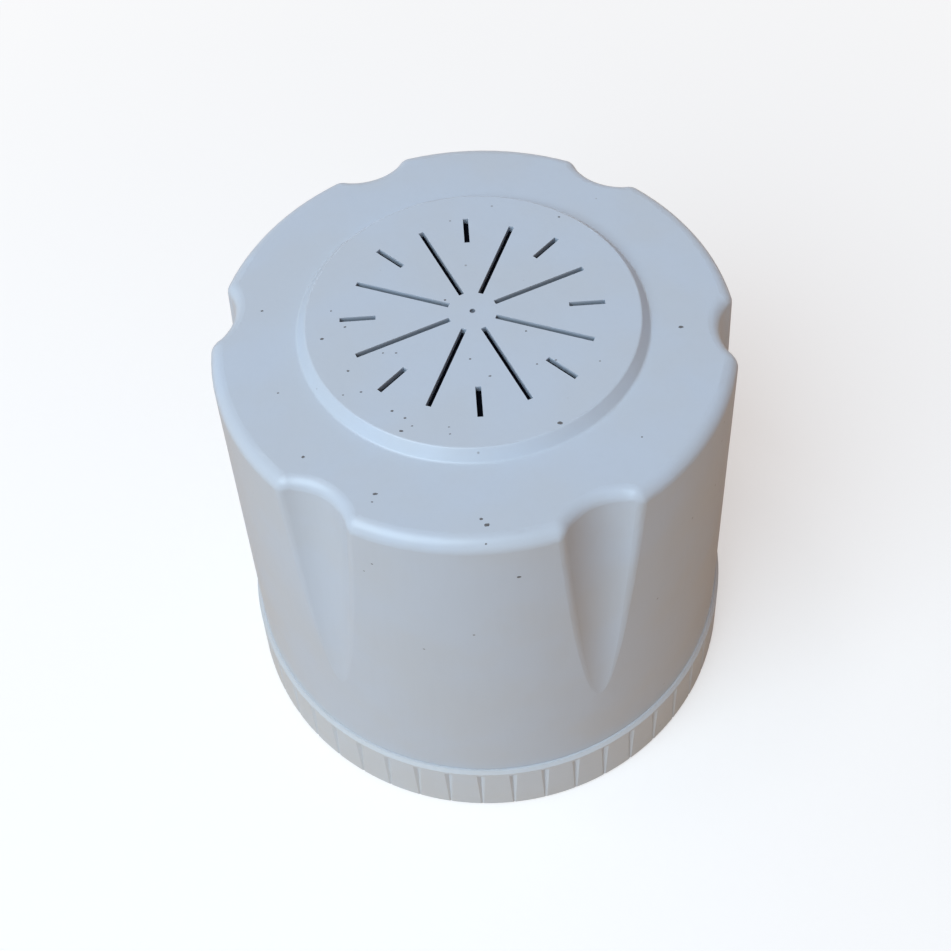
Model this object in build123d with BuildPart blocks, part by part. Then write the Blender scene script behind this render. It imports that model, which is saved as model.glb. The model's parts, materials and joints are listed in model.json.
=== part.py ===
from build123d import *
from math import atan2, cos, radians, sin
import os

os.makedirs("parts", exist_ok=True)

# Filter cartridge of a water pitcher: a fluted, tapering housing with slots in its closed end, and a
# ribbed cap that closes the open end and screws on to the pitcher's funnel. Millimetres, +Z up.
# It stands on the cap, with the slotted end on top. The origin is the middle of the foot.

# Overall
total_height = 79.0
foot_diameter = 90.0

# Cap outside
cap_height = 12.8
cap_taper = 1.2
cap_foot_edge = 0.6
cap_shoulder_edge = 0.5
groove_count = 50
groove_first_angle = 5.9
groove_land = 0.9
groove_width = 1.4
groove_depth = 0.45
groove_foot_depth = 0.15

# Housing outside
cap_ledge = 0.8
housing_taper = 5.8
rim_round = 2.1
disc_step = 1.6
disc_diameter = 47.2
disc_flare = 1.35
disc_edge_round = 0.35
disc_foot_round = 0.45

# Housing walls
side_wall = 1.3
end_wall = 1.2
disc_wall = 0.95
disc_pocket_inset = 0.65

# Finger flutes down the housing
flute_count = 6
flute_first_angle = 53.0
flute_radius = 8.0
flute_depth = 2.8
flute_length = 46.4
flute_edge_round = 1.8

# Outlet slots in the raised disc
slot_pairs = 8
slot_width = 0.78
long_slot_inner = 3.5
long_slot_outer = 17.65
short_slot_inner = 13.6
short_slot_outer = 18.65
gate_mark_diameter = 0.7
gate_mark_depth = 0.3

# Threaded socket under the cap, and the gasket's pocket at its end
skirt_wall = 4.0
socket_lead_in = 0.8
gasket_pocket_step = 0.6
gasket_pocket_depth = 2.0
gasket_width = 4.6
gasket_thickness = 1.8
gasket_clearance = 0.1
gasket_ring_wall = 0.9
gasket_ring_height = 1.5

# Inlet plate and its slots
plate_thickness = 2.0
plate_rise = 0.6
inlet_slot_pairs = 8
inlet_slot_width = 1.2
inlet_slot_margin = 4.7
inlet_long_inner = 7.0
inlet_short_inner = 16.0
inlet_hub_diameter = 9.0
inlet_hub_height = 0.6

# Weld spigot of the cap, inside the housing
spigot_height = 4.8
spigot_wall = 1.5
spigot_clearance = 0.1

# Packing, from the inlet up to the outlet
packing_clearance = 0.2
mesh_thickness = 0.5
carbon_height = 27.0
separator_thickness = 2.0
outlet_felt_thickness = 3.5

# Radii that follow from the sizes above
foot_radius = foot_diameter / 2
cap_top_radius = foot_radius - cap_taper
joint_radius = cap_top_radius - cap_ledge
rim_radius = joint_radius - housing_taper
disc_radius = disc_diameter / 2
disc_pocket_radius = disc_radius - disc_pocket_inset
socket_radius = foot_radius - skirt_wall
gasket_pocket_radius = socket_radius - gasket_pocket_step
gasket_outer = gasket_pocket_radius - gasket_clearance
gasket_inner = gasket_outer - gasket_width
gasket_ring_outer = gasket_inner - gasket_clearance
gasket_ring_inner = gasket_ring_outer - gasket_ring_wall
inlet_slot_outer = gasket_ring_inner - inlet_slot_margin

# Heights that follow from the sizes above
plate_top = cap_height + plate_rise
plate_underside = plate_top - plate_thickness
socket_depth = plate_underside - gasket_pocket_depth
spigot_top = cap_height + spigot_height
end_plane = total_height - disc_step
inner_end = end_plane - end_wall
disc_roof = total_height - disc_wall
flute_runout_height = end_plane - flute_length
groove_top = cap_height - groove_land

# Angles between neighbours
flute_pitch = 360 / flute_count
slot_pitch = 360 / slot_pairs
inlet_pitch = 360 / inlet_slot_pairs
groove_pitch = 360 / groove_count


def outer_radius(height):
    """Radius of the housing's tapering outer wall at a height."""
    share = (height - cap_height) / (end_plane - cap_height)
    return joint_radius - housing_taper * share


def inner_radius(height):
    """Radius of the housing's inner wall at a height."""
    return outer_radius(height) - side_wall


def cap_radius(height):
    """Radius of the cap's tapering skirt at a height."""
    return foot_radius - cap_taper * height / cap_height


def spigot_radius(height):
    """Radius of the weld spigot's outer face at a height."""
    return inner_radius(height) - spigot_clearance


# Each flute is cut by a round bar, which leans outwards as it goes down so that the flute fades out.
flute_floor_high = rim_radius - flute_depth
flute_floor_low = outer_radius(flute_runout_height)
flute_lean = atan2(flute_floor_low - flute_floor_high, flute_length)
flute_bar_length = 2 * total_height

# A turn of the revolved outline that puts its seam between two flutes
seam_angle = radians(flute_first_angle - flute_pitch / 2)
seam_plane = Plane(
    origin=(0, 0, 0),
    x_dir=(cos(seam_angle), sin(seam_angle), 0),
    z_dir=(sin(seam_angle), -cos(seam_angle), 0),
)


def flute_planes():
    """Planes square to the cutting bars, each centred on its bar, well below the run-out."""
    below = flute_bar_length / 4
    radial = flute_floor_low + flute_radius * cos(flute_lean) + below * sin(flute_lean)
    height = flute_runout_height + flute_radius * sin(flute_lean) - below * cos(flute_lean)
    planes = []
    for number in range(flute_count):
        angle = radians(flute_first_angle + flute_pitch * number)
        planes.append(
            Plane(
                origin=(radial * cos(angle), radial * sin(angle), height),
                x_dir=(-sin(angle), cos(angle), 0),
                z_dir=(
                    -sin(flute_lean) * cos(angle),
                    -sin(flute_lean) * sin(angle),
                    cos(flute_lean),
                ),
            )
        )
    return planes


def groove_planes():
    """Planes at the cap's foot for the grip grooves, which lean so that the grooves fade downwards."""
    start_radius = foot_radius + groove_depth - groove_foot_depth
    lean = atan2(start_radius - cap_radius(groove_top), groove_top)
    planes = []
    for number in range(groove_count):
        angle = radians(groove_first_angle + groove_pitch * number)
        planes.append(
            Plane(
                origin=(start_radius * cos(angle), start_radius * sin(angle), 0),
                x_dir=(-sin(angle), cos(angle), 0),
                z_dir=(-sin(lean) * cos(angle), -sin(lean) * sin(angle), cos(lean)),
            )
        )
    return planes


def packing_piece(low, high):
    """A plug of the housing's inner shape between two heights, clear of the walls all round."""
    with BuildPart() as piece:
        with BuildSketch(seam_plane):
            with BuildLine():
                Polyline(
                    (0, low),
                    (inner_radius(low) - packing_clearance, low),
                    (inner_radius(high) - packing_clearance, high),
                    (0, high),
                    close=True,
                )
            make_face()
        revolve(axis=Axis.Z)
        if high > flute_runout_height:
            with BuildSketch(*flute_planes()):
                Circle(flute_radius + side_wall + packing_clearance)
            extrude(amount=flute_bar_length, mode=Mode.SUBTRACT)
    return piece.part


# Cavity of the housing: the tapering inner wall, the flutes' backs and the pocket under the disc
with BuildPart() as cavity:
    with BuildSketch(seam_plane):
        with BuildLine():
            Polyline(
                (0, cap_height),
                (inner_radius(cap_height), cap_height),
                (inner_radius(inner_end), inner_end),
                (0, inner_end),
                close=True,
            )
        make_face()
    revolve(axis=Axis.Z)
    with BuildSketch(*flute_planes()):
        Circle(flute_radius + side_wall)
    extrude(amount=flute_bar_length, mode=Mode.SUBTRACT)
    with BuildSketch(Plane.XY.offset(inner_end)):
        Circle(disc_pocket_radius)
    extrude(amount=disc_roof - inner_end)


# Housing: fluted cup with a raised, slotted disc on its closed end
with BuildPart() as housing:
    with BuildSketch(seam_plane):
        with BuildLine():
            Polyline(
                (0, cap_height),
                (joint_radius, cap_height),
                (rim_radius, end_plane),
                (disc_radius + disc_flare, end_plane),
                (disc_radius, total_height),
                (0, total_height),
                close=True,
            )
        make_face()
    revolve(axis=Axis.Z)
    rim = housing.edges().filter_by(GeomType.CIRCLE).group_by(Axis.Z)[-2].sort_by(SortBy.RADIUS)[-1]
    fillet(rim, radius=rim_round)
    disc_foot = housing.edges().filter_by(GeomType.CIRCLE).group_by(Axis.Z)[-2].sort_by(SortBy.RADIUS)[0]
    fillet(disc_foot, radius=disc_foot_round)
    with BuildSketch(*flute_planes()):
        Circle(flute_radius)
    extrude(amount=flute_bar_length, mode=Mode.SUBTRACT)
    flute_faces = housing.faces().filter_by(GeomType.CYLINDER)
    fillet(flute_faces.edges(), radius=flute_edge_round)
    disc_edge = housing.edges().filter_by(GeomType.CIRCLE).group_by(Axis.Z)[-1]
    fillet(disc_edge, radius=disc_edge_round)
    add(cavity.part, mode=Mode.SUBTRACT)
    with BuildSketch(Plane.XY.offset(total_height)):
        with PolarLocations((long_slot_inner + long_slot_outer) / 2, slot_pairs, slot_pitch / 2):
            Rectangle(long_slot_outer - long_slot_inner, slot_width)
        with PolarLocations((short_slot_inner + short_slot_outer) / 2, slot_pairs):
            Rectangle(short_slot_outer - short_slot_inner, slot_width)
    extrude(amount=-disc_wall, mode=Mode.SUBTRACT)
    with BuildSketch(Plane.XY.offset(total_height)):
        Circle(gate_mark_diameter / 2)
    extrude(amount=-gate_mark_depth, mode=Mode.SUBTRACT)
housing.part.label = "housing"
export_step(housing.part, "parts/housing.step")


# Cap: grooved skirt, threaded socket below, inlet plate and the spigot welded into the housing
with BuildPart() as base_cap:
    with BuildSketch(Plane.XZ):
        with BuildLine():
            Polyline(
                (socket_radius + socket_lead_in, 0),
                (foot_radius - cap_foot_edge, 0),
                (cap_radius(cap_foot_edge), cap_foot_edge),
                (cap_radius(cap_height - cap_shoulder_edge), cap_height - cap_shoulder_edge),
                (cap_top_radius - cap_shoulder_edge, cap_height),
                (spigot_radius(cap_height), cap_height),
                (spigot_radius(spigot_top), spigot_top),
                (spigot_radius(spigot_top) - spigot_wall, spigot_top),
                (spigot_radius(spigot_top) - spigot_wall, plate_top),
                (0, plate_top),
                (0, plate_underside),
                (gasket_pocket_radius, plate_underside),
                (gasket_pocket_radius, socket_depth),
                (socket_radius, socket_depth),
                (socket_radius, socket_lead_in),
                close=True,
            )
        make_face()
    revolve(axis=Axis.Z)
    with BuildSketch(Plane.XY.offset(plate_underside)):
        Circle(gasket_ring_outer)
        Circle(gasket_ring_inner, mode=Mode.SUBTRACT)
    extrude(amount=-gasket_ring_height)
    with BuildSketch(Plane.XY.offset(plate_underside)):
        Circle(inlet_hub_diameter / 2)
    extrude(amount=-inlet_hub_height)
    with BuildSketch(Plane.XY.offset(plate_top)):
        with PolarLocations((inlet_long_inner + inlet_slot_outer) / 2, inlet_slot_pairs):
            Rectangle(inlet_slot_outer - inlet_long_inner, inlet_slot_width)
        with PolarLocations(
            (inlet_short_inner + inlet_slot_outer) / 2, inlet_slot_pairs, inlet_pitch / 2
        ):
            Rectangle(inlet_slot_outer - inlet_short_inner, inlet_slot_width)
    extrude(amount=-plate_thickness, mode=Mode.SUBTRACT)
    with BuildSketch(*groove_planes()):
        Polygon(
            (-groove_width, -groove_depth),
            (groove_width, -groove_depth),
            (0, groove_depth),
            align=None,
        )
    extrude(amount=groove_top, both=True, mode=Mode.SUBTRACT)
base_cap.part.label = "base_cap"
export_step(base_cap.part, "parts/base_cap.step")


# Gasket: flat rubber ring in the pocket above the thread
with BuildPart() as inlet_gasket:
    with BuildSketch(Plane.XY.offset(plate_underside)):
        Circle(gasket_outer)
        Circle(gasket_inner, mode=Mode.SUBTRACT)
    extrude(amount=-gasket_thickness)
inlet_gasket.part.label = "inlet_gasket"
export_step(inlet_gasket.part, "parts/inlet_gasket.step")


# Strainer mesh and felt pad, inside the spigot on the inlet plate
inlet_pad_radius = spigot_radius(spigot_top) - spigot_wall - packing_clearance
with BuildPart() as inlet_mesh:
    with BuildSketch(Plane.XY.offset(plate_top)):
        Circle(inlet_pad_radius)
    extrude(amount=mesh_thickness)
inlet_mesh.part.label = "inlet_mesh"
export_step(inlet_mesh.part, "parts/inlet_mesh.step")

with BuildPart() as inlet_felt:
    with BuildSketch(Plane.XY.offset(plate_top + mesh_thickness)):
        Circle(inlet_pad_radius)
    extrude(amount=spigot_top - plate_top - mesh_thickness)
inlet_felt.part.label = "inlet_felt"
export_step(inlet_felt.part, "parts/inlet_felt.step")


# Two beds of granules with a felt disc between them
carbon_top = spigot_top + carbon_height
separator_top = carbon_top + separator_thickness
resin_top = inner_end - outlet_felt_thickness

with BuildPart() as carbon_bed:
    add(packing_piece(spigot_top, carbon_top))
carbon_bed.part.label = "carbon_bed"
export_step(carbon_bed.part, "parts/carbon_bed.step")

with BuildPart() as separator_felt:
    add(packing_piece(carbon_top, separator_top))
separator_felt.part.label = "separator_felt"
export_step(separator_felt.part, "parts/separator_felt.step")

with BuildPart() as resin_bed:
    add(packing_piece(separator_top, resin_top))
resin_bed.part.label = "resin_bed"
export_step(resin_bed.part, "parts/resin_bed.step")


# Outlet felt, pressed up into the pocket under the disc, and the fine screen behind the slots
screen_underside = disc_roof - mesh_thickness
screen_radius = disc_pocket_radius - packing_clearance
with BuildPart() as outlet_felt:
    add(packing_piece(resin_top, inner_end))
    with BuildSketch(Plane.XY.offset(inner_end)):
        Circle(screen_radius)
    extrude(amount=screen_underside - inner_end)
outlet_felt.part.label = "outlet_felt"
export_step(outlet_felt.part, "parts/outlet_felt.step")

with BuildPart() as outlet_screen:
    with BuildSketch(Plane.XY.offset(screen_underside)):
        Circle(screen_radius)
    extrude(amount=mesh_thickness)
outlet_screen.part.label = "outlet_screen"
export_step(outlet_screen.part, "parts/outlet_screen.step")
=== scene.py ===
import json
import math
import random

import bpy
from bpy.props import FloatProperty, FloatVectorProperty, IntProperty, PointerProperty
from bpy.types import Operator, Panel, PropertyGroup
from mathutils import Euler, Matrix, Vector


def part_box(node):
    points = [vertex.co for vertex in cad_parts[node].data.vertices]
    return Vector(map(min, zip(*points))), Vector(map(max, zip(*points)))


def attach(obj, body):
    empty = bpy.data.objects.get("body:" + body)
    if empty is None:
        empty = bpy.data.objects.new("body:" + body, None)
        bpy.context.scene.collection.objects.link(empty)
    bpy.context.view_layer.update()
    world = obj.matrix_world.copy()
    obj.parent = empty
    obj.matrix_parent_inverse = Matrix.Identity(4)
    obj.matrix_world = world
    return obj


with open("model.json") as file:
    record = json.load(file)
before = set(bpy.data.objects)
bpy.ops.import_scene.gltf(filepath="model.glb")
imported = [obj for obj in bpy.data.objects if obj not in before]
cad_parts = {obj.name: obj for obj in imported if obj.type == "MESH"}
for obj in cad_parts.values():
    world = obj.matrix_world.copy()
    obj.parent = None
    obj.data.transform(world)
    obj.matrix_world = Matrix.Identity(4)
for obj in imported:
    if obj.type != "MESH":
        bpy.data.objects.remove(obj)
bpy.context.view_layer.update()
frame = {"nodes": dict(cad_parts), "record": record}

bl_info = {
    "name": "Pitcher Filter Cartridge",
    "version": (1, 0, 0),
    "blender": (4, 5, 0),
    "location": "3D View > Sidebar > Cartridge",
    "description": "Finishes, socket thread, dust and studio for a water pitcher's filter cartridge",
    "category": "Object",
}

# Lengths are in metres, and inside a material in millimetres.
MM = 0.001
PHOTO_SIDE = 951
SENSOR_WIDTH = 36.0
NODES_PER_ROW = 12
NODE_STEP = (180, -220)

# Heights that the model already has are read from its nodes, and the socket's radius from its record.
housing_low, housing_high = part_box("housing")
joint_height = housing_low.z
disc_top = housing_high.z
mounts = {mount["name"]: mount for mount in frame["record"]["mounts"]}
bore_radius = mounts["inlet_socket"]["dims"]["r_mm"] * MM

# Edges of the marks on the plastic, in millimetres: a mask goes from nought at the first to one at the
# second. The first four are heights above the joint, then come depths below the disc's top and radii.
GRIME_FOOT = (0.0, 0.05)
GRIME_TOP = (0.05, 0.7)
LEDGE_FOOT = (-0.8, -0.45)
LEDGE_TOP = (0.02, 0.05)
DISC_UNDERSIDE = (0.9, 1.0)
SLOT_SHADE = (0.04, 0.5)
SLOT_RING = (19.0, 19.3)
GATE_EDGE = (0.3, 0.5)

# Colours of the marks on the plastic, and the factors that turn its colour cooler or warmer
GRIME_COLOUR = (0.252, 0.24, 0.228)
LEDGE_COLOUR = (0.49, 0.48, 0.46)
# Painted shade deep on the walls of the outlet slots
PAINTED_SLOT_SHADE = (0.02, 0.025, 0.035)
GATE_COLOUR = (0.08, 0.09, 0.11)
DUST_COLOUR = (0.16, 0.15, 0.15)
COOL_CLOUD = (0.99682, 1.00694, 1.02212)
WARM_CLOUD = (0.99682, 0.985, 0.970225)

# The thread's ridge: how deep its foot is sunk in the wall, and how near corners are merged
RIDGE_SUNK = 0.05 * MM
MERGE_DISTANCE = 0.002 * MM
SMOOTH_ANGLE = math.radians(30.0)

# A speck of grit: least and most that a corner is moved in or out, least and most width as a share of
# its length, and height of its middle as a share of its thickness
SPECK_UNEVENNESS = (0.72, 1.12)
SPECK_WIDTH = (0.5, 0.8)
SPECK_LIFT = 0.1


class Value:
    """A socket's value, which takes part in Python arithmetic by adding Math nodes."""

    def __init__(self, graph, socket):
        self.graph = graph
        self.socket = socket

    def math(self, operation, *others, clamp=False):
        """The result of a Math node that works on this value and the others."""
        inputs = dict(enumerate((self,) + others))
        settings = {"operation": operation, "use_clamp": clamp}
        return self.graph.node("ShaderNodeMath", settings, inputs)[0]

    def __add__(self, other):
        return self.math("ADD", other)

    def __radd__(self, other):
        return self.math("ADD", other)

    def __sub__(self, other):
        return self.math("SUBTRACT", other)

    def __rsub__(self, other):
        return self.graph.number(other).math("SUBTRACT", self)

    def __mul__(self, other):
        return self.math("MULTIPLY", other)

    def __rmul__(self, other):
        return self.math("MULTIPLY", other)

    def __pow__(self, other):
        return self.math("POWER", other)

    def clamped(self):
        """The value held between nought and one."""
        return self.math("ADD", 0.0, clamp=True)

    def between(self, low, high):
        """Nought at low, one at high, with a smooth step between them."""
        settings = {"interpolation_type": "SMOOTHSTEP"}
        inputs = {"Value": self, "From Min": low, "From Max": high}
        return self.graph.node("ShaderNodeMapRange", settings, inputs)[0]


class Outputs:
    """The outputs of a node, by number or by name, as values."""

    def __init__(self, graph, node):
        self.graph = graph
        self.node = node

    def __getitem__(self, key):
        return Value(self.graph, self.node.outputs[key])


class Graph:
    """The node tree of a material or of the world, built up from nothing."""

    def __init__(self, owner):
        owner.use_nodes = True
        self.tree = owner.node_tree
        self.tree.nodes.clear()
        self.count = 0

    def node(self, kind, settings=None, inputs=None):
        """Adds a node of a kind, sets it up, and fills or links its sockets."""
        node = self.tree.nodes.new(kind)
        row, column = divmod(self.count, NODES_PER_ROW)
        node.location = (NODE_STEP[0] * column, NODE_STEP[1] * row)
        self.count += 1
        for name, value in (settings or {}).items():
            setattr(node, name, value)
        for name, value in (inputs or {}).items():
            if isinstance(value, Value):
                self.tree.links.new(value.socket, node.inputs[name])
            else:
                node.inputs[name].default_value = value
        return Outputs(self, node)

    def number(self, value):
        """A plain number as a value, for a reflected operation."""
        return self.node("ShaderNodeMath", {"operation": "ADD"}, {0: value, 1: 0.0})[0]

    def vector(self, operation, *vectors, **inputs):
        """A Vector Math node's result."""
        sockets = dict(enumerate(vectors))
        sockets.update(inputs)
        return self.node("ShaderNodeVectorMath", {"operation": operation}, sockets)[0]

    def mixed(self, factor, first, second):
        """A colour between two, which are sockets 6 and 7 of a Mix node with output 2."""
        settings = {"data_type": "RGBA"}
        return self.node("ShaderNodeMix", settings, {0: factor, 6: first, 7: second})[2]

    def shown(self):
        """One for the rays that show a background: straight from the camera, or through glass."""
        paths = self.node("ShaderNodeLightPath")
        return paths["Is Camera Ray"].math("MAXIMUM", paths["Is Transmission Ray"])

    def mirrored(self, shown):
        """One for the rays that are shown, and for those that gloss mirrors."""
        paths = self.node("ShaderNodeLightPath")
        return shown.math("MAXIMUM", paths["Is Glossy Ray"])


class Finish(Graph):
    """The node tree of one new material, with the place on the piece in millimetres."""

    def __init__(self, name):
        self.material = bpy.data.materials.new(name)
        super().__init__(self.material)
        place = self.node("ShaderNodeTexCoord")["Object"]
        self.place = self.vector("SCALE", place, Scale=1 / MM)
        parts = self.node("ShaderNodeSeparateXYZ", inputs={0: self.place})
        self.x, self.y, self.z = parts[0], parts[1], parts[2]
        self.radius = (self.x * self.x + self.y * self.y) ** 0.5

    def stretched(self, x=1.0, y=1.0, z=1.0):
        """The place, stretched along the axes."""
        return self.vector("MULTIPLY", self.place, (x, y, z))

    def noise(self, grain, detail=2.0, roughness=0.5, place=None, distortion=0.0):
        """Noise whose lumps are about a grain wide."""
        inputs = {
            "Vector": place or self.place,
            "Scale": 1 / grain,
            "Detail": detail,
            "Roughness": roughness,
            "Distortion": distortion,
        }
        return self.node("ShaderNodeTexNoise", {"noise_dimensions": "3D"}, inputs)[0]

    def cells(self, grain, output="Distance", randomness=1.0):
        """Distance from, or colour of, cells that are about a grain apart."""
        inputs = {"Vector": self.place, "Scale": 1 / grain, "Randomness": randomness}
        return self.node("ShaderNodeTexVoronoi", {"feature": "F1"}, inputs)[output]

    def cell_number(self, grain, randomness=1.0):
        """A number from nought to one that is the same all over a cell."""
        colour = self.cells(grain, "Color", randomness)
        return self.node("ShaderNodeSeparateColor", None, {0: colour})[0]

    def bump(self, height, depth, below=None):
        """A normal bent by a height from nought to one that stands for a depth."""
        inputs = {"Strength": 1.0, "Distance": depth * MM, "Height": height}
        if below is not None:
            inputs["Normal"] = below
        return self.node("ShaderNodeBump", None, inputs)[0]

    def surface(self, **inputs):
        """Ends the material in a Principled shader with these sockets."""
        sockets = {name.replace("_", " "): value for name, value in inputs.items()}
        shader = self.node("ShaderNodeBsdfPrincipled", None, sockets)
        self.node("ShaderNodeOutputMaterial", None, {0: shader[0]})
        return self.material


def rgba(colour):
    """A colour with full cover, for a shader's socket."""
    return (colour[0], colour[1], colour[2], 1.0)


def toned(colour, factors):
    """A colour with each channel multiplied by its own factor."""
    return rgba([channel * factor for channel, factor in zip(colour, factors)])


def shade(colour, factor):
    """A colour made lighter or darker by a factor."""
    return toned(colour, (factor, factor, factor))


def finish_node(name, material):
    """Gives a node of the model its material."""
    slots = frame["nodes"][name].data.materials
    slots.clear()
    slots.append(material)


def deselect():
    """Leaves nothing selected, in Object mode."""
    if bpy.context.object and bpy.context.object.mode != "OBJECT":
        bpy.ops.object.mode_set(mode="OBJECT")
    bpy.ops.object.select_all(action="DESELECT")


def settle(piece, name, material):
    """Names a finished piece, applies its place, gives it a material and fixes it to the model."""
    piece.name = name
    piece.data.name = name
    bpy.ops.object.select_all(action="DESELECT")
    piece.select_set(True)
    bpy.context.view_layer.objects.active = piece
    bpy.ops.object.transform_apply(location=True, rotation=True, scale=True)
    piece.data.materials.clear()
    piece.data.materials.append(material)
    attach(piece, "root")


def cloudy_tint(graph, colour, clouds):
    """The plastic's colour, with faint clouds and upright draw lines."""
    tint = graph.mixed(clouds.between(0.35, 0.65), toned(colour, WARM_CLOUD), toned(colour, COOL_CLOUD))
    lines = graph.noise(1.6, detail=3.0, place=graph.stretched(z=0.06))
    return graph.mixed((lines - 0.5).math("ABSOLUTE") * 0.22, tint, shade(colour, 0.8))


def joint_masks(graph):
    """Patchy grime in the corner above the joint, and the cap's ledge and shoulder below it."""
    above_joint = graph.z - joint_height / MM
    patches = graph.noise(2.2, detail=4.0, roughness=0.65)
    grime = (1.0 - above_joint.between(*GRIME_TOP)) * above_joint.between(*GRIME_FOOT) * patches
    ledge = above_joint.between(*LEDGE_FOOT) * (1.0 - above_joint.between(*LEDGE_TOP))
    return grime, ledge


def disc_masks(graph):
    """Painted shade on the walls of the outlet slots, more so with depth, and the gate mark in the
    disc's middle.
    """
    below_top = disc_top / MM - graph.z
    in_disc = 1.0 - below_top.between(*DISC_UNDERSIDE)
    painted_slot_shade = (1.0 - graph.radius.between(*SLOT_RING)) * in_disc * below_top.between(*SLOT_SHADE)
    gate_mark = (1.0 - graph.radius.between(*GATE_EDGE)) * in_disc
    return painted_slot_shade, gate_mark


def dust_mask(graph, spacing):
    """Dots of fine dust, in about a quarter of the cells."""
    dots = 1.0 - graph.cells(spacing).between(0.02, 0.06)
    return dots * graph.cell_number(spacing).between(0.72, 0.8)


def moulded_plastic(name, colour, roughness, settings):
    """Semi-gloss moulded plastic with faint clouds, draw lines, orange peel, scuffs, fine dust, and
    painted shade in the outlet slots.
    """
    graph = Finish(name)
    clouds = graph.noise(settings.cloud_size / MM, detail=3.0, roughness=0.55)
    grime, ledge = joint_masks(graph)
    painted_slot_shade, gate_mark = disc_masks(graph)
    dust = dust_mask(graph, settings.dust_spacing / MM)
    tint = cloudy_tint(graph, colour, clouds)
    tint = graph.mixed(grime * settings.grime, tint, rgba(GRIME_COLOUR))
    tint = graph.mixed(ledge * settings.ledge_dust, tint, rgba(LEDGE_COLOUR))
    # Painted shade on the outlet slots' walls, darker with depth
    tint = graph.mixed(painted_slot_shade * settings.slot_shadow, tint, rgba(PAINTED_SLOT_SHADE))
    tint = graph.mixed(gate_mark * 0.85, tint, rgba(GATE_COLOUR))
    tint = graph.mixed(dust * 0.55, tint, rgba(DUST_COLOUR))
    scuffs = graph.noise(0.7, detail=5.0, roughness=0.7, place=graph.stretched(x=0.16, z=0.35))
    dulled = scuffs.between(0.6, 0.78) * 0.14 + grime * 0.2 + dust * 0.3
    peel = graph.noise(settings.peel_size / MM, detail=1.0)
    grain = graph.noise(0.22, detail=2.0, roughness=0.6)
    waves = graph.bump(peel, settings.peel_depth / MM)
    return graph.surface(
        Base_Color=tint,
        Roughness=(roughness + (clouds - 0.5) * 0.1 + dulled).clamped(),
        Normal=graph.bump(grain, settings.grain_depth / MM, waves),
        IOR=1.49,
        Subsurface_Weight=settings.glow,
        Subsurface_Radius=(1.0, 1.0, 1.0),
        Subsurface_Scale=settings.glow_depth,
    )


def soft_rubber(colour):
    """Pale silicone with a fine matt grain and a bloom of talc."""
    graph = Finish("gasket_silicone")
    bloom = graph.noise(3.0, detail=5.0, roughness=0.65).between(0.42, 0.7)
    grain = graph.noise(0.12, detail=3.0)
    return graph.surface(
        Base_Color=graph.mixed(bloom * 0.5, shade(colour, 0.93), shade(colour, 1.1)),
        Roughness=(0.5 + bloom * 0.25).clamped(),
        Normal=graph.bump(grain, 0.015),
        IOR=1.41,
    )


def woven_mesh(name, colour, gap_colour, pitch, depth, shine):
    """A plain weave of fine threads along X and Y."""
    graph = Finish(name)
    turn = math.tau / (pitch / MM)
    warp = (graph.x * turn).math("SINE")
    weft = (graph.y * turn).math("SINE")
    over = warp * weft
    threads = (1.0 - warp.math("ABSOLUTE") * weft.math("ABSOLUTE")) * 0.6 + over * 0.2 + 0.2
    fuzz = graph.noise(0.08, detail=3.0)
    tint = graph.mixed(threads.between(0.35, 0.75), rgba(gap_colour), rgba(colour))
    return graph.surface(
        Base_Color=graph.mixed(fuzz * 0.25, tint, shade(colour, 0.7)),
        Roughness=(0.5 + fuzz * 0.3).clamped(),
        Normal=graph.bump(threads, depth / MM),
        Specular_IOR_Level=shine,
    )


def felt(colour):
    """Non-woven felt: long tangled fibres with a few dark flecks."""
    graph = Finish("filter_felt")
    along = graph.noise(0.35, detail=4.0, place=graph.stretched(x=0.12), distortion=1.2)
    across = graph.noise(0.35, detail=4.0, place=graph.stretched(y=0.12), distortion=1.2)
    fibres = along.math("MAXIMUM", across)
    flecks = graph.noise(0.5, detail=2.0, roughness=0.8).between(0.72, 0.78)
    tint = graph.mixed(fibres.between(0.4, 0.75), shade(colour, 0.72), shade(colour, 1.04))
    return graph.surface(
        Base_Color=graph.mixed(flecks * 0.5, tint, shade(colour, 0.4)),
        Roughness=(0.8 + fibres * 0.15).clamped(),
        Normal=graph.bump(fibres, 0.12),
    )


def granules(name, dark, light, size, roughness, depth):
    """A packed bed of grains, each of its own tone, with painted shade in the gaps between them."""
    graph = Finish(name)
    grain = size / MM
    hollow = graph.cells(grain, randomness=0.9)
    dust = graph.noise(grain * 0.4, detail=3.0)
    tint = graph.mixed(graph.cell_number(grain, randomness=0.9), rgba(dark), rgba(light))
    return graph.surface(
        # Painted shade in the gaps between the grains
        Base_Color=graph.mixed(hollow.between(0.25, 0.6), tint, shade(dark, 0.25)),
        Roughness=(roughness + (dust - 0.5) * 0.3).clamped(),
        Normal=graph.bump(1.0 - hollow, depth / MM),
    )


def dry_grit(colour):
    """Dry grey-brown grit."""
    graph = Finish("dust_grit")
    lumps = graph.noise(0.15, detail=3.0, roughness=0.7)
    return graph.surface(
        Base_Color=graph.mixed(lumps, shade(colour, 0.5), shade(colour, 1.7)),
        Roughness=(0.75 + lumps * 0.2).clamped(),
        Normal=graph.bump(lumps, 0.05),
    )


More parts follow.
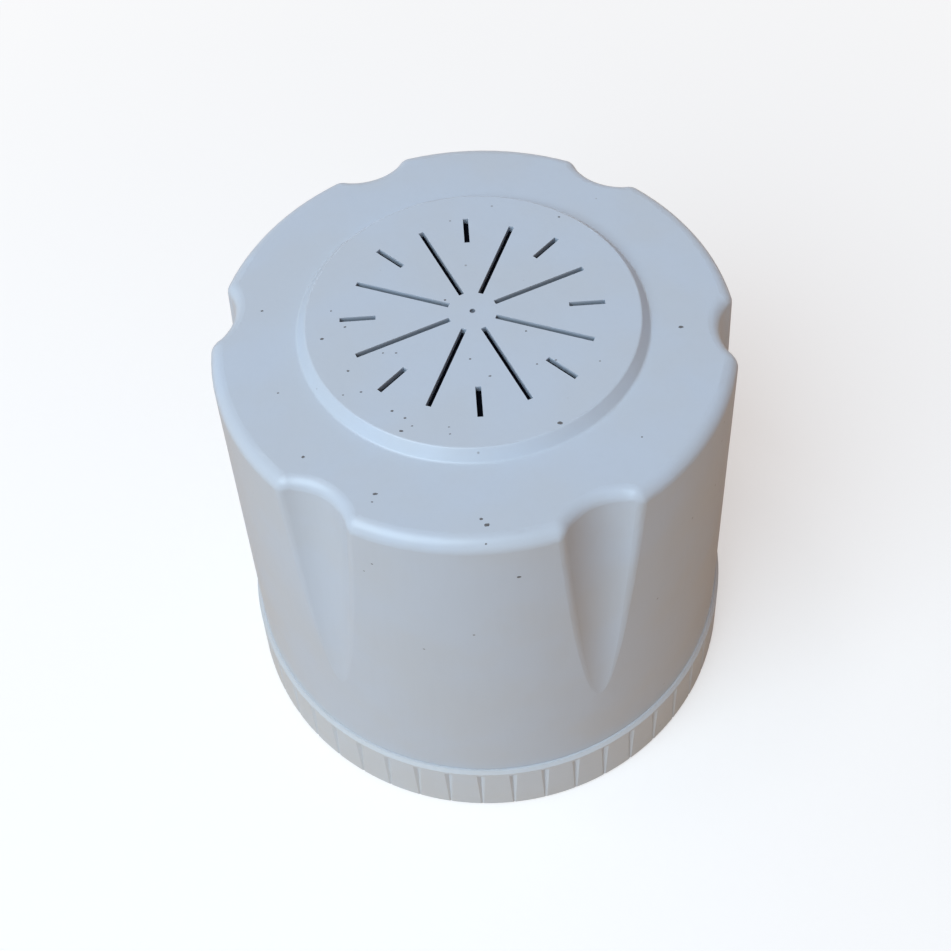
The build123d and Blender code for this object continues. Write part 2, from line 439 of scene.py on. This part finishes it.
class PlasticSettings(PropertyGroup):
    """Finish of the housing and the cap."""

    housing_colour: FloatVectorProperty(
        name="Housing colour",
        description="Colour of the housing's plastic",
        subtype="COLOR",
        size=3,
        min=0.0,
        max=1.0,
        default=(0.53, 0.6, 0.69),
    )
    cap_colour: FloatVectorProperty(
        name="Cap colour",
        description="Colour of the cap's plastic",
        subtype="COLOR",
        size=3,
        min=0.0,
        max=1.0,
        default=(0.585, 0.64, 0.7),
    )
    housing_roughness: FloatProperty(
        name="Housing roughness",
        description="How dull the housing's moulded surface is",
        subtype="FACTOR",
        min=0.0,
        max=1.0,
        default=0.34,
    )
    cap_roughness: FloatProperty(
        name="Cap roughness",
        description="How dull the cap's moulded surface is",
        subtype="FACTOR",
        min=0.0,
        max=1.0,
        default=0.39,
    )
    cloud_size: FloatProperty(
        name="Cloud size",
        description="Width of the faint clouds in the colour",
        unit="LENGTH",
        min=0.001,
        default=0.016,
    )
    peel_size: FloatProperty(
        name="Orange peel size",
        description="Width of the shallow waves that moulding leaves",
        unit="LENGTH",
        min=0.0005,
        default=0.0045,
    )
    peel_depth: FloatProperty(
        name="Orange peel depth",
        description="Depth of the shallow waves that moulding leaves",
        unit="LENGTH",
        min=0.0,
        default=0.00005,
    )
    grain_depth: FloatProperty(
        name="Grain depth",
        description="Depth of the finest grain of the mould",
        unit="LENGTH",
        min=0.0,
        default=0.000003,
    )
    glow: FloatProperty(
        name="Glow",
        description="Share of the light that travels inside the plastic",
        subtype="FACTOR",
        min=0.0,
        max=1.0,
        default=0.04,
    )
    glow_depth: FloatProperty(
        name="Glow depth",
        description="How far light travels inside the plastic",
        unit="LENGTH",
        min=0.0,
        default=0.0006,
    )
    grime: FloatProperty(
        name="Joint grime",
        description="How dark the line is where the housing meets the cap",
        subtype="FACTOR",
        min=0.0,
        max=1.0,
        default=0.35,
    )
    ledge_dust: FloatProperty(
        name="Ledge dust",
        description="How much grey dust has settled on the ledge and shoulder of the cap",
        subtype="FACTOR",
        min=0.0,
        max=1.0,
        default=0.4,
    )
    # Strength of the painted shade on the walls of the outlet slots
    slot_shadow: FloatProperty(
        name="Slot darkening",
        description="How dark the walls of the outlet slots grow with depth",
        subtype="FACTOR",
        min=0.0,
        max=1.0,
        default=0.4,
    )
    dust_spacing: FloatProperty(
        name="Fine dust spacing",
        description="Distance between places where a fine dust dot may lie",
        unit="LENGTH",
        min=0.0005,
        default=0.0042,
    )


class PackingSettings(PropertyGroup):
    """Finish of the gasket, the strainers, the felts and the two beds."""

    gasket_colour: FloatVectorProperty(
        name="Gasket colour",
        description="Colour of the gasket's silicone",
        subtype="COLOR",
        size=3,
        min=0.0,
        max=1.0,
        default=(0.72, 0.72, 0.70),
    )
    strainer_colour: FloatVectorProperty(
        name="Strainer colour",
        description="Colour of the threads of the inlet strainer",
        subtype="COLOR",
        size=3,
        min=0.0,
        max=1.0,
        default=(0.74, 0.75, 0.76),
    )
    strainer_pitch: FloatProperty(
        name="Strainer pitch",
        description="Distance between the threads of the inlet strainer",
        unit="LENGTH",
        min=0.0001,
        default=0.0005,
    )
    screen_colour: FloatVectorProperty(
        name="Screen colour",
        description="Colour of the threads of the dark screen behind the outlet slots",
        subtype="COLOR",
        size=3,
        min=0.0,
        max=1.0,
        default=(0.004, 0.005, 0.01),
    )
    screen_pitch: FloatProperty(
        name="Screen pitch",
        description="Distance between the threads of the screen behind the outlet slots",
        unit="LENGTH",
        min=0.0001,
        default=0.00035,
    )
    felt_colour: FloatVectorProperty(
        name="Felt colour",
        description="Colour of the felt pads",
        subtype="COLOR",
        size=3,
        min=0.0,
        max=1.0,
        default=(0.80, 0.80, 0.78),
    )
    carbon_dark: FloatVectorProperty(
        name="Darkest carbon",
        description="Colour of the darkest carbon grains",
        subtype="COLOR",
        size=3,
        min=0.0,
        max=1.0,
        default=(0.012, 0.012, 0.013),
    )
    carbon_light: FloatVectorProperty(
        name="Lightest carbon",
        description="Colour of the lightest carbon grains",
        subtype="COLOR",
        size=3,
        min=0.0,
        max=1.0,
        default=(0.035, 0.035, 0.037),
    )
    carbon_size: FloatProperty(
        name="Carbon grain size",
        description="Width of a grain of carbon",
        unit="LENGTH",
        min=0.0001,
        default=0.0009,
    )
    resin_dark: FloatVectorProperty(
        name="Darkest resin",
        description="Colour of the darkest resin beads",
        subtype="COLOR",
        size=3,
        min=0.0,
        max=1.0,
        default=(0.50, 0.28, 0.08),
    )
    resin_light: FloatVectorProperty(
        name="Lightest resin",
        description="Colour of the lightest resin beads",
        subtype="COLOR",
        size=3,
        min=0.0,
        max=1.0,
        default=(0.72, 0.47, 0.20),
    )
    resin_size: FloatProperty(
        name="Resin bead size",
        description="Width of a bead of resin",
        unit="LENGTH",
        min=0.0001,
        default=0.0007,
    )


class ThreadSettings(PropertyGroup):
    """Ridge of the screw thread in the cap's socket."""

    socket_radius: FloatProperty(
        name="Socket radius",
        description="Radius of the plain wall between the ridges",
        unit="LENGTH",
        default=bore_radius,
    )
    ridge_height: FloatProperty(
        name="Ridge height",
        description="How far the ridge stands out of the wall",
        unit="LENGTH",
        default=0.0013,
    )
    ridge_foot: FloatProperty(
        name="Ridge foot",
        description="Width of the ridge at the wall",
        unit="LENGTH",
        default=0.0018,
    )
    ridge_crest: FloatProperty(
        name="Ridge crest",
        description="Width of the ridge at its crest",
        unit="LENGTH",
        default=0.0007,
    )
    pitch: FloatProperty(
        name="Pitch",
        description="Rise of the ridge in one turn",
        unit="LENGTH",
        default=0.0036,
    )
    start_height: FloatProperty(
        name="Start height",
        description="Height of the ridge's middle at its start",
        unit="LENGTH",
        default=0.0024,
    )
    sweep: FloatProperty(
        name="Sweep",
        description="Angle that the ridge goes round",
        subtype="ANGLE",
        default=math.radians(470.0),
    )
    run_out: FloatProperty(
        name="Run-out",
        description="Angle over which each end of the ridge fades into the wall",
        subtype="ANGLE",
        default=math.radians(18.0),
    )
    steps: IntProperty(
        name="Steps",
        description="Number of sections along the ridge",
        min=3,
        default=200,
    )


class DustSettings(PropertyGroup):
    """Grit that lies on the plastic."""

    colour: FloatVectorProperty(
        name="Grit colour",
        description="Colour of the grit",
        subtype="COLOR",
        size=3,
        min=0.0,
        max=1.0,
        default=(0.13, 0.13, 0.135),
    )
    thickness: FloatProperty(
        name="Thickness",
        description="Thickness of a speck as a share of its length",
        subtype="FACTOR",
        min=0.05,
        max=1.0,
        default=0.12,
    )
    seed: IntProperty(
        name="Seed",
        description="Start of the random shapes of the specks",
        default=7,
    )


class StudioSettings(PropertyGroup):
    """Camera, lamps, room light and floor."""

    camera_place: FloatVectorProperty(
        name="Camera place",
        description="Where the camera stands",
        subtype="TRANSLATION",
        unit="LENGTH",
        size=3,
        default=(-0.00135, -0.10321, 0.19024),
    )
    camera_turn: FloatVectorProperty(
        name="Camera turn",
        description="Turn of the camera about X, Y and Z",
        subtype="EULER",
        size=3,
        default=(math.radians(34.0647), math.radians(2.1621), math.radians(-3.3254)),
    )
    focal_pixels: FloatProperty(
        name="Focal length in pixels",
        description="Focal length, in pixels of the square picture",
        default=1071.0,
    )
    window_place: FloatVectorProperty(
        name="Window lamp place",
        description="Where the large cool lamp stands",
        subtype="TRANSLATION",
        unit="LENGTH",
        size=3,
        default=(-0.59, -0.59, 1.0),
    )
    window_side: FloatProperty(
        name="Window lamp side",
        description="Side of the large cool lamp",
        unit="LENGTH",
        default=1.0,
    )
    window_colour: FloatVectorProperty(
        name="Window lamp colour",
        description="Colour of the large lamp's light",
        subtype="COLOR",
        size=3,
        min=0.0,
        max=1.0,
        default=(0.68, 0.865, 1.0),
    )
    window_strength: FloatProperty(
        name="Window lamp strength",
        description="Light of the large cool lamp, where one shows a colour as written",
        default=1.04,
    )
    ceiling_place: FloatVectorProperty(
        name="Ceiling lamp place",
        description="Where the small overhead lamp hangs",
        subtype="TRANSLATION",
        unit="LENGTH",
        size=3,
        default=(-0.34, 0.1, 0.93),
    )
    ceiling_side: FloatProperty(
        name="Ceiling lamp side",
        description="Side of the small overhead lamp",
        unit="LENGTH",
        default=0.12,
    )
    ceiling_colour: FloatVectorProperty(
        name="Ceiling lamp colour",
        description="Colour of the small overhead lamp's light",
        subtype="COLOR",
        size=3,
        min=0.0,
        max=1.0,
        default=(1.0, 0.99, 0.97),
    )
    ceiling_strength: FloatProperty(
        name="Ceiling lamp strength",
        description="Light of the small overhead lamp, where one shows a colour as written",
        default=0.035,
    )
    room_colour: FloatVectorProperty(
        name="Room colour",
        description="Colour of the light from all round",
        subtype="COLOR",
        size=3,
        min=0.0,
        max=1.0,
        default=(1.0, 0.74, 0.63),
    )
    room_strength: FloatProperty(
        name="Room strength",
        description="Light from all round, where one shows a colour as written",
        default=0.32,
    )
    floor_radius: FloatProperty(
        name="Floor radius",
        description="Radius of the round floor",
        unit="LENGTH",
        default=4.0,
    )
    floor_colour: FloatVectorProperty(
        name="Floor colour",
        description="Colour of the floor as the camera sees it",
        subtype="COLOR",
        size=3,
        min=0.0,
        max=1.0,
        default=(0.6, 0.6, 0.6),
    )
    floor_bounce: FloatVectorProperty(
        name="Floor bounce",
        description="Colour of the light that the floor throws back on the cartridge",
        subtype="COLOR",
        size=3,
        min=0.0,
        max=1.0,
        default=(0.66, 0.49, 0.34),
    )
    floor_glow: FloatProperty(
        name="Floor glow",
        description="How much the floor is brightened for the camera, where one is white",
        subtype="FACTOR",
        min=0.0,
        max=1.0,
        default=0.46,
    )
    fade_start: FloatProperty(
        name="Fade start",
        description="Distance from the middle at which the floor starts to fade to white",
        unit="LENGTH",
        default=0.07,
    )
    fade_end: FloatProperty(
        name="Fade end",
        description="Distance from the middle at which the floor is white",
        unit="LENGTH",
        default=0.45,
    )


class CARTRIDGE_OT_plastics(Operator):
    """Finish the housing and the cap in semi-gloss moulded plastic"""

    bl_idname = "cartridge.plastics"
    bl_label = "Finish plastics"

    def execute(self, context):
        settings = context.scene.cartridge_plastic
        housing = moulded_plastic(
            "housing_plastic", settings.housing_colour, settings.housing_roughness, settings
        )
        cap = moulded_plastic("cap_plastic", settings.cap_colour, settings.cap_roughness, settings)
        finish_node("housing", housing)
        finish_node("base_cap", cap)
        return {"FINISHED"}


class CARTRIDGE_OT_gasket(Operator):
    """Finish the gasket in pale silicone"""

    bl_idname = "cartridge.gasket"
    bl_label = "Finish gasket"

    def execute(self, context):
        finish_node("inlet_gasket", soft_rubber(context.scene.cartridge_packing.gasket_colour))
        return {"FINISHED"}


class CARTRIDGE_OT_packing(Operator):
    """Finish the strainers, the felts and the two beds"""

    bl_idname = "cartridge.packing"
    bl_label = "Finish packing"

    def execute(self, context):
        settings = context.scene.cartridge_packing
        strainer = woven_mesh(
            "inlet_mesh",
            settings.strainer_colour,
            gap_colour=(0.30, 0.30, 0.31),
            pitch=settings.strainer_pitch,
            depth=0.08 * MM,
            shine=0.5,
        )
        screen = woven_mesh(
            "outlet_screen",
            settings.screen_colour,
            gap_colour=(0.001, 0.001, 0.002),
            pitch=settings.screen_pitch,
            depth=0.06 * MM,
            shine=0.03,
        )
        pad = felt(settings.felt_colour)
        carbon = granules(
            "carbon_granules",
            settings.carbon_dark,
            settings.carbon_light,
            settings.carbon_size,
            roughness=0.5,
            depth=0.4 * MM,
        )
        resin = granules(
            "resin_beads",
            settings.resin_dark,
            settings.resin_light,
            settings.resin_size,
            roughness=0.28,
            depth=0.35 * MM,
        )
        finish_node("inlet_mesh", strainer)
        finish_node("outlet_screen", screen)
        finish_node("inlet_felt", pad)
        finish_node("separator_felt", pad)
        finish_node("outlet_felt", pad)
        finish_node("carbon_bed", carbon)
        finish_node("resin_bed", resin)
        return {"FINISHED"}


class CARTRIDGE_OT_thread(Operator):
    """Model the ridge of the screw thread inside the cap's socket"""

    bl_idname = "cartridge.thread"
    bl_label = "Add socket thread"

    def execute(self, context):
        settings = context.scene.cartridge_thread
        deselect()
        wall = settings.socket_radius + RIDGE_SUNK
        crest = settings.socket_radius - settings.ridge_height
        foot = settings.ridge_foot / 2
        top = settings.ridge_crest / 2
        bpy.ops.mesh.primitive_plane_add(size=1.0, location=(0.0, 0.0, 0.0))
        ridge = context.object
        corners = ((wall, -foot), (crest, -top), (wall, foot), (crest, top))
        for vertex, (radial, height) in zip(ridge.data.vertices, corners):
            vertex.co = (radial, 0.0, settings.start_height + height)
        screw = ridge.modifiers.new("Screw", "SCREW")
        screw.axis = "Z"
        screw.angle = settings.sweep
        screw.screw_offset = settings.pitch * settings.sweep / math.tau
        screw.steps = settings.steps
        screw.render_steps = settings.steps
        screw.use_normal_calculate = True
        bpy.ops.object.modifier_apply(modifier=screw.name)
        self.fade_ends(ridge, settings, wall, len(corners))
        bpy.ops.object.mode_set(mode="EDIT")
        bpy.ops.mesh.select_all(action="SELECT")
        bpy.ops.mesh.remove_doubles(threshold=MERGE_DISTANCE)
        bpy.ops.mesh.normals_make_consistent(inside=False)
        bpy.ops.object.mode_set(mode="OBJECT")
        bpy.ops.object.shade_smooth_by_angle(angle=SMOOTH_ANGLE)
        settle(ridge, "socket_thread", bpy.data.materials["cap_plastic"])
        return {"FINISHED"}

    @staticmethod
    def fade_ends(ridge, settings, wall, corner_count):
        """Narrows each end of the ridge to a tip in the wall, section by section."""
        for vertex in ridge.data.vertices:
            section = vertex.index // corner_count
            turned = settings.sweep * section / settings.steps
            left = min(turned, settings.sweep - turned) / settings.run_out
            share = math.sin(min(1.0, left) * math.pi / 2)
            middle = settings.start_height + settings.pitch * turned / math.tau
            radius = math.hypot(vertex.co.x, vertex.co.y)
            drawn = wall + (radius - wall) * share
            vertex.co.x *= drawn / radius
            vertex.co.y *= drawn / radius
            vertex.co.z = middle + (vertex.co.z - middle) * share


# Grit as the picture shows it: across and down in its pixels, and length in millimetres
grit_marks = (
    (262, 311, 0.45),
    (278, 393, 0.35),
    (322, 339, 0.6),
    (331, 311, 0.3),
    (345, 327, 0.4),
    (348, 371, 0.45),
    (361, 392, 0.4),
    (392, 411, 0.45),
    (396, 353, 0.4),
    (401, 431, 0.6),
    (405, 418, 0.4),
    (412, 426, 0.35),
    (445, 300, 0.4),
    (450, 221, 0.35),
    (470, 359, 0.4),
    (490, 376, 0.45),
    (526, 331, 0.35),
    (537, 364, 0.3),
    (559, 217, 0.4),
    (560, 423, 0.85),
    (681, 327, 0.8),
    (375, 494, 0.7),
    (372, 502, 0.35),
    (303, 457, 0.5),
    (481, 519, 0.5),
    (487, 525, 0.75),
    (519, 577, 0.6),
    (474, 635, 0.4),
    (600, 361, 0.3),
    (383, 353, 0.3),
    (449, 427, 0.3),
    (450, 434, 0.3),
    (343, 395, 0.3),
    (556, 360, 0.3),
    (372, 564, 0.4),
    (364, 571, 0.3),
    (424, 649, 0.4),
    (642, 437, 0.3),
    (486, 544, 0.3),
)


class CARTRIDGE_OT_dust(Operator):
    """Lay the specks of grit on the plastic where the picture shows them"""

    bl_idname = "cartridge.dust"
    bl_label = "Add dust"

    def execute(self, context):
        settings = context.scene.cartridge_dust
        chance = random.Random(settings.seed)
        deselect()
        specks = []
        for across, down, length in grit_marks:
            origin, aim = self.pixel_ray(context.scene.cartridge_studio, across, down)
            place, normal = self.first_hit(origin, aim)
            if place is None:
                raise RuntimeError(f"no plastic lies behind pixel {across}, {down}")
            specks.append(self.speck(context, place, normal, length * MM, settings, chance))
        deselect()
        for speck in specks:
            speck.select_set(True)
        context.view_layer.objects.active = specks[0]
        bpy.ops.object.join()
        settle(context.object, "dust_specks", dry_grit(settings.colour))
        return {"FINISHED"}

    @staticmethod
    def pixel_ray(studio, across, down):
        """The ray from the camera through a pixel of the picture."""
        turn = Euler(studio.camera_turn).to_matrix()
        middle = PHOTO_SIDE / 2
        aim = turn @ Vector((across - middle, middle - down, -studio.focal_pixels))
        return Vector(studio.camera_place), aim.normalized()

    @staticmethod
    def first_hit(origin, aim):
        """The nearest point of the housing or the cap along a ray, and the surface's normal there."""
        nearest = (None, None)
        reach = math.inf
        for name in ("housing", "base_cap"):
            hit, place, normal, _ = frame["nodes"][name].ray_cast(origin, aim)
            if hit and (place - origin).length < reach:
                reach = (place - origin).length
                nearest = (place, normal)
        return nearest

    @staticmethod
    def speck(context, place, normal, length, settings, chance):
        """One flat, uneven speck that lies on a surface."""
        thickness = length * settings.thickness
        bpy.ops.mesh.primitive_ico_sphere_add(
            subdivisions=2,
            radius=0.5,
            location=place + normal * thickness * SPECK_LIFT,
            rotation=normal.to_track_quat("Z", "Y").to_euler(),
        )
        speck = context.object
        for vertex in speck.data.vertices:
            vertex.co *= chance.uniform(*SPECK_UNEVENNESS)
        speck.scale = (length, length * chance.uniform(*SPECK_WIDTH), thickness)
        bpy.ops.object.transform_apply(location=False, rotation=False, scale=True)
        return speck


class CARTRIDGE_OT_studio(Operator):
    """Set up the camera, the lamps, the room light and the pale floor"""

    bl_idname = "cartridge.studio"
    bl_label = "Add studio"

    def execute(self, context):
        settings = context.scene.cartridge_studio
        self.camera(context, settings)
        self.lamp(
            context,
            "window_lamp",
            settings.window_place,
            settings.window_side,
            settings.window_colour,
            settings.window_strength,
        )
        self.lamp(
            context,
            "ceiling_lamp",
            settings.ceiling_place,
            settings.ceiling_side,
            settings.ceiling_colour,
            settings.ceiling_strength,
        )
        self.room(context, settings)
        self.floor(context, settings)
        context.scene.view_settings.view_transform = "Standard"
        return {"FINISHED"}

    @staticmethod
    def camera(context, settings):
        """The camera at the picture's viewing angle."""
        data = bpy.data.cameras.new("camera")
        data.sensor_width = SENSOR_WIDTH
        data.lens = settings.focal_pixels / PHOTO_SIDE * SENSOR_WIDTH
        data.clip_start = 0.005
        camera = bpy.data.objects.new("camera", data)
        camera.location = settings.camera_place
        camera.rotation_euler = settings.camera_turn
        context.scene.collection.objects.link(camera)
        context.scene.camera = camera

    @staticmethod
    def lamp(context, name, place, side, colour, strength):
        """A square lamp aimed at the cartridge, as strong as asked for at the cartridge."""
        aim = Vector((0.0, 0.0, disc_top / 2)) - Vector(place)
        data = bpy.data.lights.new(name, "AREA")
        data.size = side
        data.color = colour
        data.energy = strength * math.pi**2 * aim.length_squared
        lamp = bpy.data.objects.new(name, data)
        lamp.location = place
        lamp.rotation_euler = aim.to_track_quat("-Z", "Y").to_euler()
        context.scene.collection.objects.link(lamp)

    @staticmethod
    def room(context, settings):
        """Even room light, with white behind the object for camera, glossy and glass rays."""
        world = bpy.data.worlds.new("room")
        graph = Graph(world)
        light = graph.node(
            "ShaderNodeBackground",
            None,
            {"Color": rgba(settings.room_colour), "Strength": settings.room_strength},
        )
        white = graph.node(
            "ShaderNodeBackground", None, {"Color": (1.0, 1.0, 1.0, 1.0), "Strength": 1.0}
        )
        mirrored = graph.mirrored(graph.shown())
        sky = graph.node("ShaderNodeMixShader", None, {0: mirrored, 1: light[0], 2: white[0]})
        graph.node("ShaderNodeOutputWorld", None, {0: sky[0]})
        context.scene.world = world

    @staticmethod
    def floor(context, settings):
        """A wide pale floor that keeps the shadow and fades to white away from the cartridge."""
        deselect()
        bpy.ops.mesh.primitive_circle_add(
            vertices=96, radius=settings.floor_radius, fill_type="NGON", location=(0.0, 0.0, 0.0)
        )
        floor = context.object
        floor.name = "floor"
        graph = Finish("pale_floor")
        shown = graph.shown()
        tint = graph.mixed(shown, rgba(settings.floor_bounce), rgba(settings.floor_colour))
        cloth = graph.node("ShaderNodeBsdfDiffuse", None, {"Color": tint})
        lift = graph.node("ShaderNodeEmission", None, {"Strength": shown * settings.floor_glow})
        near = graph.node("ShaderNodeAddShader", None, {0: cloth[0], 1: lift[0]})
        far = graph.node("ShaderNodeEmission", None, {"Strength": 1.0})
        away = graph.radius.between(settings.fade_start / MM, settings.fade_end / MM)
        fade = graph.mirrored(shown) * away
        ground = graph.node("ShaderNodeMixShader", None, {0: fade, 1: near[0], 2: far[0]})
        graph.node("ShaderNodeOutputMaterial", None, {0: ground[0]})
        floor.data.materials.append(graph.material)


class CARTRIDGE_PT_sidebar(Panel):
    """Steps and settings of the cartridge"""

    bl_label = "Filter cartridge"
    bl_idname = "CARTRIDGE_PT_sidebar"
    bl_space_type = "VIEW_3D"
    bl_region_type = "UI"
    bl_category = "Cartridge"

    def draw(self, context):
        for step in steps:
            self.layout.operator(step.bl_idname)
        for name in settings_groups:
            group = getattr(context.scene, name)
            box = self.layout.box()
            for field in group.bl_rna.properties:
                if field.identifier not in ("rna_type", "name"):
                    box.prop(group, field.identifier)


settings_groups = {
    "cartridge_plastic": PlasticSettings,
    "cartridge_packing": PackingSettings,
    "cartridge_thread": ThreadSettings,
    "cartridge_dust": DustSettings,
    "cartridge_studio": StudioSettings,
}
steps = (
    CARTRIDGE_OT_plastics,
    CARTRIDGE_OT_gasket,
    CARTRIDGE_OT_packing,
    CARTRIDGE_OT_thread,
    CARTRIDGE_OT_dust,
    CARTRIDGE_OT_studio,
)


def register():
    """Adds the settings, the steps and the sidebar's panel to Blender."""
    for group in settings_groups.values():
        bpy.utils.register_class(group)
    for step in steps:
        bpy.utils.register_class(step)
    bpy.utils.register_class(CARTRIDGE_PT_sidebar)
    for name, group in settings_groups.items():
        setattr(bpy.types.Scene, name, PointerProperty(type=group))


def unregister():
    """Takes the settings, the steps and the sidebar's panel out again."""
    for name in settings_groups:
        delattr(bpy.types.Scene, name)
    bpy.utils.unregister_class(CARTRIDGE_PT_sidebar)
    for step in reversed(steps):
        bpy.utils.unregister_class(step)
    for group in reversed(list(settings_groups.values())):
        bpy.utils.unregister_class(group)


def main():
    """Takes every step in order."""
    register()
    bpy.ops.cartridge.plastics()
    bpy.ops.cartridge.gasket()
    bpy.ops.cartridge.packing()
    bpy.ops.cartridge.thread()
    bpy.ops.cartridge.dust()
    bpy.ops.cartridge.studio()


if __name__ == "__main__":
    main()
